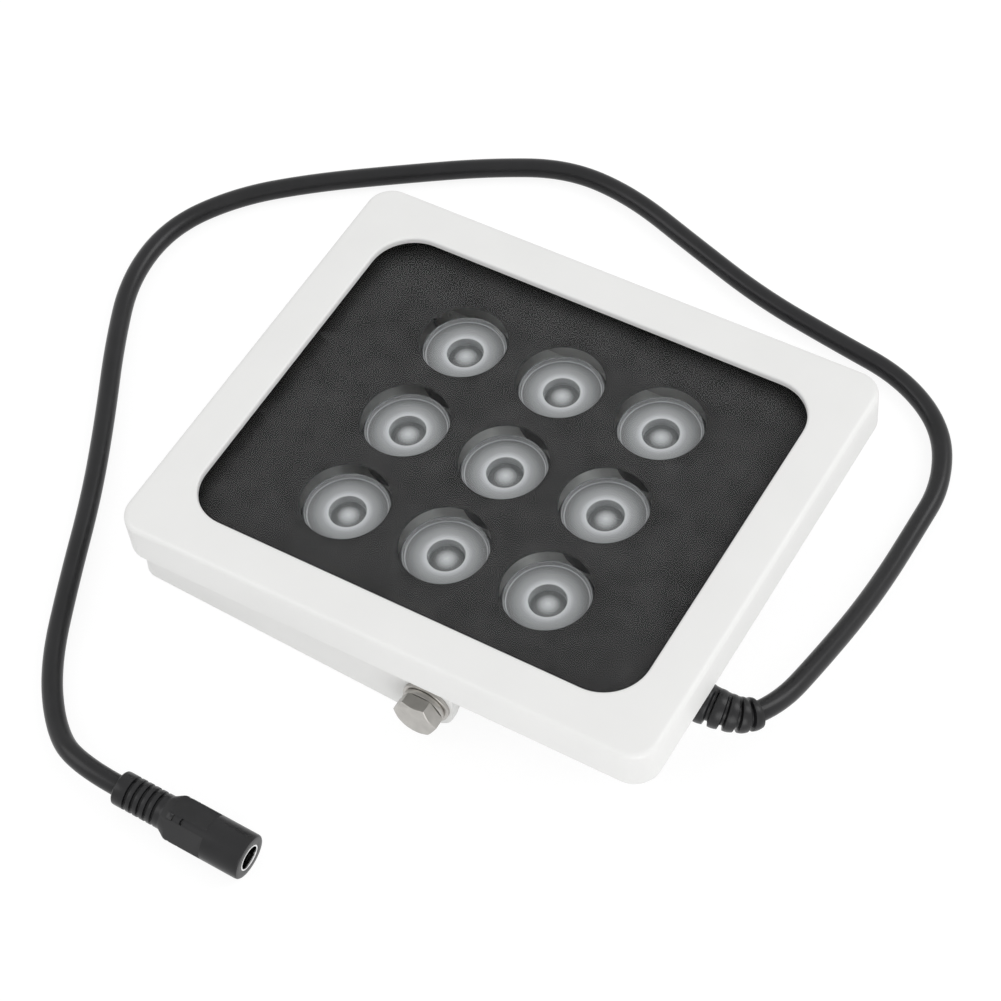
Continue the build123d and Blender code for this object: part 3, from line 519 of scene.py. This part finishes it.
def hexHead():
    # Hexagon radius a / cos(angle to the nearest flat), cut by a shallow cone round the face.
    angle = np.linspace(0, 2 * math.pi, bolt["steps"], endpoint=False)
    hexRadius = bolt["flats"] / 2 / np.cos((angle % (math.pi / 3)) - math.pi / 6)
    drop = np.maximum(hexRadius - bolt["face"], 0) * bolt["slope"]
    under, lower, top = 0 * angle, bolt["lowerRound"] + 0 * angle, bolt["head"] - drop
    rows = [
        (under + poleRadius, under), (hexRadius - bolt["lowerRound"], under), (hexRadius, lower),
        (hexRadius, top - bolt["cornerDrop"]), (hexRadius - bolt["cornerInset"], top),
        (under + bolt["face"] + bolt["cornerDrop"], under + bolt["head"] - bolt["faceDrop"]),
        (under + bolt["face"] - bolt["lowerRound"], under + bolt["head"]),
        (under + poleRadius, under + bolt["head"])]
    radius, height = (np.stack(part) for part in zip(*rows))
    return np.stack([radius * np.cos(angle), radius * np.sin(angle), height], axis=-1)


shank = turnedRings(softened(
    [(poleRadius, 0), (bolt["shank"], 0), (bolt["shank"], -bolt["shankLength"]),
     (poleRadius, -bolt["shankLength"])], bolt["shankEdges"], 4), 48)
pivotBolts = joinGrids("pivotBolts", [onPivot(g, side, bolt["seat"]) for side in (-1, 1)
                                      for g in (hexHead(), shank)], boltSteel, sharp=22)
settle(pivotBolts, "head", "bolt_steel", "pivot_bolts")

washer = {"flatOuter": 6.0, "flatInner": 3.2, "flat": 1.1, "springOuter": 5.3, "springInner": 3.15,
          "spring": 1.5, "slit": 0.8, "lift": 0.08, "arm": 52.55, "flatEdge": 0.15, "springEdge": 0.2,
          "steps": 90}
flatProfile = softened(
    [(washer["flatInner"], 0), (washer["flatOuter"], 0), (washer["flatOuter"], washer["flat"]),
     (washer["flatInner"], washer["flat"]), (washer["flatInner"], 0)], [washer["flatEdge"]] * 3, 4)
flatWashers = joinGrids("flatWashers", [onPivot(turnedRings(flatProfile), side, washer["arm"])
                                        for side in (-1, 1)], boltSteel, loopRows=True)
settle(flatWashers, "head", "bolt_steel", "flat_washers")


def springRing():
    # A square section carried round almost a full turn, its ends a little apart in height.
    section = softened([(washer["springInner"], 0), (washer["springOuter"], 0),
                        (washer["springOuter"], washer["spring"]), (washer["springInner"], washer["spring"]),
                        (washer["springInner"], 0)], [washer["springEdge"]] * 3, 4)
    radius, height = section.T[:, None]
    half = washer["slit"] / 2 / washer["springOuter"]
    angle = np.linspace(-math.pi / 2 + half, 1.5 * math.pi - half, washer["steps"])[:, None]
    lift = washer["lift"] * (1 - 2 * (angle + math.pi / 2) / (2 * math.pi))
    middle = washer["spring"] / 2
    squeezed = middle + (height - middle) * (1 - 2 * washer["lift"] / washer["spring"])
    return np.stack([radius * np.cos(angle), radius * np.sin(angle), squeezed + lift], axis=-1)


springWashers = joinGrids("springWashers", [onPivot(springRing(), side, washer["arm"] + washer["flat"])
                                            for side in (-1, 1)], boltSteel)
settle(springWashers, "head", "bolt_steel", "spring_washers")
print("pivot bolts and washers made")


# bracket, in row millimetres
bracket = {"inner": 50.0, "sheet": 2.5, "bar": -75.8309, "end": 11.3191, "strip": 18.0, "bend": 1.8,
           "endRound": 7.0, "edge": 0.45, "pivotHole": 3.08, "centreHole": 4.2, "sideHole": 3.2,
           "spacing": 60.0, "endZone": 12.0, "steps": 12, "rod": 4.0}
halfSheet, halfStrip = bracket["sheet"] / 2, bracket["strip"] / 2


def bracketStrip():
    # A rounded strip section carried along the U; near both ends its height follows the corner arcs.
    middle = bracket["inner"] + halfSheet
    bendRadius = bracket["bend"] + halfSheet
    barX = bracket["bar"] + halfSheet
    arc = np.linspace(0, math.pi / 2, bracket["steps"])
    ends = bracket["endRound"] * (1 - np.cos(arc))
    arm = np.linspace(bracket["end"] - bracket["endZone"], barX + bendRadius, 8)
    armX = np.concatenate([bracket["end"] - ends, arm])
    corner = np.stack([barX + bendRadius - bendRadius * np.sin(arc),
                       -middle + bendRadius - bendRadius * np.cos(arc)], axis=-1)
    lower = np.concatenate([np.stack([armX, np.full_like(armX, -middle)], axis=-1), corner[1:]])
    bar = np.stack([np.full(5, barX), np.linspace(-middle + bendRadius, 0, 6)[1:]], axis=-1)
    half = np.concatenate([lower, bar])
    path = np.concatenate([half, half[-2::-1] * (1, -1)])
    along = np.gradient(path, axis=0)
    along /= np.linalg.norm(along, axis=1, keepdims=True)
    outward = np.stack([along[:, 1], -along[:, 0]], axis=-1)
    fromEnd = np.maximum(bracket["endRound"] - (bracket["end"] - path[:, 0]), 0)
    height = halfStrip - bracket["endRound"] + np.sqrt(bracket["endRound"] ** 2 - fromEnd**2)
    section = softened(
        [(-halfSheet, 0), (-halfSheet, halfStrip), (halfSheet, halfStrip), (halfSheet, -halfStrip),
         (-halfSheet, -halfStrip), (-halfSheet, 0)], [bracket["edge"]] * 4, 5)[:-1]
    sideways = section[:, 0][None, :, None] * outward[:, None, :]
    upright = section[:, 1][None] + np.sign(section[:, 1])[None] * (height[:, None] - halfStrip)
    upright = np.where(np.abs(section[:, 1])[None] < 0.01, 0, upright)
    flat = path[:, None, :] + sideways
    return np.concatenate([flat, (halfStrip + upright)[..., None]], axis=-1) * mm


def cutHoles(piece, cutters):
    # Cylinders taken out of a piece, its final mesh kept and the cutters thrown away.
    for cutter in cutters:
        cut = piece.modifiers.new("hole", "BOOLEAN")
        cut.operation = "DIFFERENCE"
        cut.solver = "EXACT"
        cut.object = cutter
    bpy.context.view_layer.update()
    done = bpy.data.meshes.new_from_object(piece.evaluated_get(bpy.context.evaluated_depsgraph_get()))
    piece.modifiers.clear()
    piece.data = done
    for cutter in cutters:
        bpy.data.objects.remove(cutter)
    smoothed(done)


bracketBody = addPiece("bracketStrip", bracketStrip(), bracketPaint)
holeRod = turnedRings([(0.001, -bracket["rod"]), (1, -bracket["rod"]), (1, bracket["rod"]),
                       (0.001, bracket["rod"])], 48)
rodX, rodY, rodZ = np.moveaxis(holeRod, -1, 0)
holes = [(bracket["centreHole"], 0), (bracket["sideHole"], bracket["spacing"] / 2),
         (bracket["sideHole"], -bracket["spacing"] / 2)]
rods = [(f"cutter{i}", (rodZ + bracket["bar"] + halfSheet, rodX * radius + y, rodY * radius + halfStrip))
        for i, (radius, y) in enumerate(holes)]
rods += [(f"pivotCutter{side}", (rodX * bracket["pivotHole"] + headPlace["pivotInRow"][0],
                                 rodZ + side * (bracket["inner"] + halfSheet),
                                 rodY * bracket["pivotHole"] + halfStrip)) for side in (-1, 1)]
cutters = [addPiece(name, np.stack(axes, axis=-1) * mm, bracketPaint) for name, axes in rods]
cutHoles(bracketBody, cutters)
settle(bracketBody, "bracket", "bracket_paint", "bracket")
print("bracket made")


# strain relief: a neck in the wall and ribs along a bend to the cord
relief = {
    "root": (61.6, -27.3, -16.0), "rootRadius": 5.2, "tipRadius": 3.8, "groove": 1.1, "ribs": 6,
    "share": 0.66, "rootPull": 8.0, "tipPull": 5.0, "neck": 3.95, "neckLength": 3.6, "neckGap": 0.02,
    "disc": 5.5, "discLength": 1.5, "discEdge": 0.1, "bridgeAngle": 150.0, "bridgeHalf": 34.0,
    "bridgeFade": 10.0, "slotEdge": 0.10, "crown": 0.12, "rows": 161, "steps": 64,
}


def bezierFrames(a, b, c, d, t):
    # Cubic Bezier points with a steady sideways direction for each.
    t = t[:, None]
    point = (1 - t) ** 3 * a + 3 * (1 - t) ** 2 * t * b + 3 * (1 - t) * t**2 * c + t**3 * d
    along = 3 * (1 - t) ** 2 * (b - a) + 6 * (1 - t) * t * (c - b) + 3 * t**2 * (d - c)
    along /= np.linalg.norm(along, axis=1, keepdims=True)
    sideways = np.cross(along, (0, 0, 1.0))
    sideways /= np.linalg.norm(sideways, axis=1, keepdims=True)
    return point, along, sideways, np.cross(sideways, along)


def reliefGrid():
    # Rings along the bend; the radius falls to the tip, and the slots between the ribs stay closed
    # along one side by a bridge.
    root = toRow(relief["root"]) / mm
    out = toRow(np.array(relief["root"]) + (1, 0, 0)) / mm - root
    tip, after = cordRoute[0], cordRoute[1]
    tipOut = (after - tip) / np.linalg.norm(after - tip)
    unit = relief["ribs"] - 1 + relief["share"]
    t = np.linspace(0, 1, relief["rows"])
    point, along, sideways, upward = bezierFrames(
        root, root + out * relief["rootPull"], tip - tipOut * relief["tipPull"], tip, t)
    phase = (t * unit) % 1.0
    intoSlot = np.clip((phase - relief["share"]) / relief["slotEdge"], 0, 1)
    inSlot = np.sin(intoSlot * np.clip((1 - phase) / relief["slotEdge"], 0, 1) * math.pi / 2)
    angle = np.linspace(0, 2 * math.pi, relief["steps"], endpoint=False)[None]
    outer = relief["rootRadius"] + (relief["tipRadius"] - relief["rootRadius"]) * t
    onRib = phase < relief["share"]
    crown = relief["crown"] * np.cos(phase / relief["share"] * math.pi - math.pi / 2) * onRib
    fromBridge = np.abs((angle - math.radians(relief["bridgeAngle"]) + math.pi) % (2 * math.pi) - math.pi)
    openShare = np.clip((np.degrees(fromBridge) - relief["bridgeHalf"]) / relief["bridgeFade"], 0, 1)
    slots = relief["groove"] * inSlot[:, None] * openShare
    radius = (outer + crown - relief["crown"])[:, None] - slots
    ring = point[:, None] + radius[..., None] * (
        np.cos(angle)[..., None] * sideways[:, None] + np.sin(angle)[..., None] * upward[:, None])
    # inner end: a neck through the wall and a disc behind it
    discBack = relief["neckLength"] + relief["discLength"]
    back = softened(
        [(poleRadius, discBack), (relief["disc"], discBack), (relief["disc"], relief["neckLength"]),
         (relief["neck"], relief["neckLength"]), (relief["neck"], relief["neckGap"])],
        [relief["discEdge"]] * 3, 3)
    inner = (root - back[:, 1][:, None] * out)[:, None] + back[:, 0][:, None, None] * (
        np.cos(angle)[..., None] * sideways[0] + np.sin(angle)[..., None] * upward[0])
    return np.concatenate([inner, ring]) * mm


strainRelief = addPiece("strainRelief", reliefGrid(), reliefBlack, sharp=50)
settle(strainRelief, "head", "relief_black", "strain_relief")
print("strain relief made")


# in-line power socket at the cord's end
socket = {
    "radius": 5.5, "flats": 8.8, "roll": 21.0, "tail": 4.15, "tailLength": 12.9,
    "shoulder": 2.2, "flatsLength": 12.0, "barrel": 9.9, "edge": 0.7, "grooves": 5, "grooveStart": 3.2,
    "groovePitch": 1.85, "grooveWidth": 0.8, "grooveDepth": 0.9,
    "notchStart": 1.2, "notchPitch": 2.4, "notchHalfLength": 0.8, "notchHalfWidth": 0.35, "notchDepth": 0.5,
    "notchRows": 41, "notchZone": (1.2, 5.2), "steps": 192,
    "sleeve": 3.25, "sleeveWall": 0.4, "sleeveLength": 9.5, "pin": 1.05, "pinShort": 1.2, "liner": 2.5,
    "rimFade": 0.5, "rimBright": 0.1, "grooveEdge": 0.12, "shoulderEdges": (0.3, 0.5),
    "flatsStep": 0.01, "boreEdges": (0.15, 0.05), "pinEdges": [0.05, 0.5], "linerEdge": 0.1,
}
socketFront = socket["tailLength"] + socket["flatsLength"] + socket["barrel"]
boreFloor = socketFront - socket["sleeveLength"]
boreRadius = socket["sleeve"] - socket["sleeveWall"]


def alongSocket(grid):
    # Local z runs along the socket from the cord's end.
    return (cordRoute[-1] + np.stack([grid[..., 2], grid[..., 0], grid[..., 1]], axis=-1)) * mm


def socketGrid():
    # Round rings, held inside a soft square between the shoulder and the barrel; grooves round the tail.
    tail, flatsEnd = socket["tailLength"], socket["tailLength"] + socket["flatsLength"]
    corners = [(poleRadius, 0), (socket["tail"], 0)]
    cuts = [socket["edge"]]
    for groove in range(socket["grooves"]):
        near = socket["grooveStart"] + groove * socket["groovePitch"]
        far = near + socket["grooveWidth"]
        deep = socket["tail"] - socket["grooveDepth"]
        corners += [(socket["tail"], near), (deep, near), (deep, far), (socket["tail"], far)]
        cuts += [socket["grooveEdge"]] * 4
    flatsStart = tail + socket["shoulder"]
    zone = np.linspace(*socket["notchZone"], socket["notchRows"])
    middle = [(socket["radius"], flatsStart + z) for z in zone]
    corners += [(socket["tail"], tail), (socket["radius"], flatsStart), *middle,
                (socket["radius"], flatsEnd - socket["flatsStep"])]
    cuts += [*socket["shoulderEdges"]] + [0.0] * len(middle) + [0.0]
    corners += [(socket["radius"], flatsEnd + socket["flatsStep"]), (socket["radius"], socketFront),
                (socket["sleeve"], socketFront), (socket["sleeve"], boreFloor), (poleRadius, boreFloor)]
    cuts += [0.0, socket["edge"], *socket["boreEdges"]]
    profile = softened(corners, cuts, 4)
    rings = turnedRings(profile, socket["steps"])
    reach = np.linalg.norm(rings[..., :2], axis=-1)
    angle = np.arctan2(rings[..., 1], rings[..., 0])
    turned = angle + math.radians(socket["roll"])
    square = socket["flats"] / 2 / np.maximum(np.abs(np.cos(turned)), np.abs(np.sin(turned)))
    along = profile[:, 1][:, None]
    outside = (profile[:, 0] > socket["sleeve"])[:, None]
    inFlats = (along >= tail) & (along <= flatsEnd) & outside
    held = np.where(inFlats & (reach > square), square, reach)
    # oval notches on the four ridges: depth times 1 - (across / half)^2 - (along / half)^2, held flat inside
    fromRidge = (turned % (math.pi / 2) - math.pi / 4) * socket["radius"] / socket["notchHalfLength"]
    for notch in range(2):
        centre = flatsStart + socket["notchStart"] + notch * socket["notchPitch"]
        fromCentre = (along - centre) / socket["notchHalfWidth"]
        inside = np.clip(3 * (1 - fromRidge**2 - fromCentre**2), 0, 1)
        held = held - socket["notchDepth"] * inside * outside
    rings[..., :2] *= (held / np.maximum(reach, 1e-9))[..., None]
    return rings


plugBody = addPiece("plugBody", alongSocket(socketGrid()), plugBlack, sharp=30)
sleeveProfile = softened(
    [(boreRadius, boreFloor), (socket["sleeve"], boreFloor), (socket["sleeve"], socketFront),
     (boreRadius, socketFront), (boreRadius, boreFloor)], [socket["pinEdges"][0]] * 3, 3)
plugSleeve = addPiece("plugSleeve", alongSocket(turnedRings(sleeveProfile)), sleeveMetalPaintedShade, loopRows=True)
# painted shade: the sleeve's colour darkens from its rim into the bore, standing in for the shade inside it
sleeveNodes, sleeveLinks = sleeveMetalPaintedShade.node_tree.nodes, sleeveMetalPaintedShade.node_tree.links
sleevePlace = sleeveNodes.new("ShaderNodeTexCoord")
sleeveAxes = sleeveNodes.new("ShaderNodeSeparateXYZ")
sleeveLinks.new(sleevePlace.outputs["Object"], sleeveAxes.inputs["Vector"])
sleevePaintedShade = sleeveNodes.new("ShaderNodeMapRange")
rimX = (cordRoute[-1][0] + socketFront) * mm
setInputs(sleevePaintedShade, From_Min=rimX - socket["rimFade"] * mm, From_Max=rimX - socket["rimBright"] * mm,
          To_Min=0.035, To_Max=0.8)
sleeveLinks.new(sleeveAxes.outputs["X"], sleevePaintedShade.inputs["Value"])
sleeveLinks.new(sleevePaintedShade.outputs["Result"], principled(sleeveMetalPaintedShade).inputs["Base Color"])
pinTop = socketFront - socket["pinShort"]
pinProfile = softened([(poleRadius, boreFloor), (socket["pin"], boreFloor), (socket["pin"], pinTop),
                       (poleRadius, pinTop)], socket["pinEdges"], 5)
plugPin = addPiece("plugPin", alongSocket(turnedRings(pinProfile, 48)), pinMetalPaintedShade)
linerTop = boreFloor + socket["liner"]
linerProfile = softened([(socket["pin"], boreFloor), (boreRadius, boreFloor), (boreRadius, linerTop),
                         (socket["pin"], linerTop), (socket["pin"], boreFloor)],
                        [socket["linerEdge"]] * 3, 3)
plugLiner = addPiece("plugLiner", alongSocket(turnedRings(linerProfile, 64)), plugBlack, loopRows=True)
settle(plugBody, "head", "plug_black", "plug_body")
settle(plugSleeve, "head", "plug_metal", "plug_sleeve")
settle(plugPin, "head", "plug_metal", "plug_pin")
settle(plugLiner, "head", "plug_black", "plug_liner")
print("power socket made")


# finishes on the parts kept from the frame
keptFinish = {
    "rear_housing": housingPaint, "glass_seal": sealRubber, "bezel_screws": screwSteel,
    "thermal_pad": padGrey, "led_board": boardWhite, "board_screws": screwSteel,
    "driver_board": boardGreen, "driver_coil": darkPart,
    "driver_capacitors": canMetal, "driver_chip": darkPart, "supply_leads": leadRed, "led_leads": leadRed,
}
for name, finish in keptFinish.items():
    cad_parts[name].material_slots[0].material = finish


# floor, world and lamps
studio = {"floor": 0.8, "floorHalf": 6.0, "floorDrop": 0.0002, "world": 0.7, "glow": 1.1, "glowShare": 0.8,
          "lampSize": 0.8, "lampTarget": (0, 0, 0.02)}


def mathNode(nodes, links, operation, first, second):
    # A clamped sum or product of two sockets, or of a socket and a number.
    node = nodes.new("ShaderNodeMath")
    node.operation = operation
    node.use_clamp = True
    links.new(first, node.inputs[0])
    if isinstance(second, float):
        node.inputs[1].default_value = second
    else:
        links.new(second, node.inputs[1])
    return node.outputs[0]


def seenRays(nodes, links):
    # One for camera, glossy and transmission rays, nought for the rays that carry the light.
    rays = nodes.new("ShaderNodeLightPath").outputs
    seen = mathNode(nodes, links, "ADD", rays["Is Camera Ray"], rays["Is Glossy Ray"])
    return mathNode(nodes, links, "ADD", seen, rays["Is Transmission Ray"])


def blendShaders(nodes, links, share, first, second, output):
    blend = nodes.new("ShaderNodeMixShader")
    links.new(share, blend.inputs["Fac"])
    links.new(first, blend.inputs[1])
    links.new(second, blend.inputs[2])
    links.new(blend.outputs["Shader"], nodes[output].inputs["Surface"])


half, drop = studio["floorHalf"], -studio["floorDrop"]
floorMesh = bpy.data.meshes.new("studioFloor")
floorMesh.from_pydata([(x * half, y * half, drop) for x, y in ((-1, -1), (1, -1), (1, 1), (-1, 1))],
                      [], [(0, 1, 2, 3)])
floorMaterial, floorNodes, floorLinks, floorShader, _ = startMaterial(
    "studioFloor", (studio["floor"],) * 3, 0.9)
setInputs(floorShader, Specular_IOR_Level=0.0)
glow = floorNodes.new("ShaderNodeEmission")
setInputs(glow, Strength=studio["glow"])
glowShare = mathNode(floorNodes, floorLinks, "MULTIPLY", seenRays(floorNodes, floorLinks),
                     studio["glowShare"])
blendShaders(floorNodes, floorLinks, glowShare, floorShader.outputs["BSDF"], glow.outputs["Emission"],
             "Material Output")
floorMesh.materials.append(floorMaterial)
studioFloor = bpy.data.objects.new("studioFloor", floorMesh)
bpy.context.scene.collection.objects.link(studioFloor)

bpy.context.scene.view_settings.view_transform = "Standard"
world = bpy.data.worlds.new("studioWorld")
bpy.context.scene.world = world
world.use_nodes = True
worldNodes, worldLinks = world.node_tree.nodes, world.node_tree.links
worldLight = worldNodes["Background"]
setInputs(worldLight, Color=(1, 1, 1, 1), Strength=studio["world"])
worldSeen = worldNodes.new("ShaderNodeBackground")
setInputs(worldSeen, Color=(1, 1, 1, 1), Strength=1.0)
blendShaders(worldNodes, worldLinks, seenRays(worldNodes, worldLinks), worldLight.outputs[0],
             worldSeen.outputs[0], "World Output")


def addLamp(name, place, power):
    # A square soft lamp aimed at the object.
    data = bpy.data.lights.new(name, "AREA")
    data.size, data.energy = studio["lampSize"], power
    lamp = bpy.data.objects.new(name, data)
    back = np.array(place) - studio["lampTarget"]
    back /= np.linalg.norm(back)
    side = np.cross((0, 0, 1.0), back)
    side /= np.linalg.norm(side)
    lamp.matrix_world = Matrix.Translation(place) @ Matrix(
        np.column_stack([side, np.cross(back, side), back]).tolist()).to_4x4()
    bpy.context.scene.collection.objects.link(lamp)


for name, place, power in (("keyLamp", (0.75, 0.75, 1.1), 6.0), ("fillLamp", (-0.9, -0.6, 0.8), 3.0),
                           ("nearLamp", (0.8, -0.9, 0.35), 5.0)):
    addLamp(name, place, power)

print("scene ready")
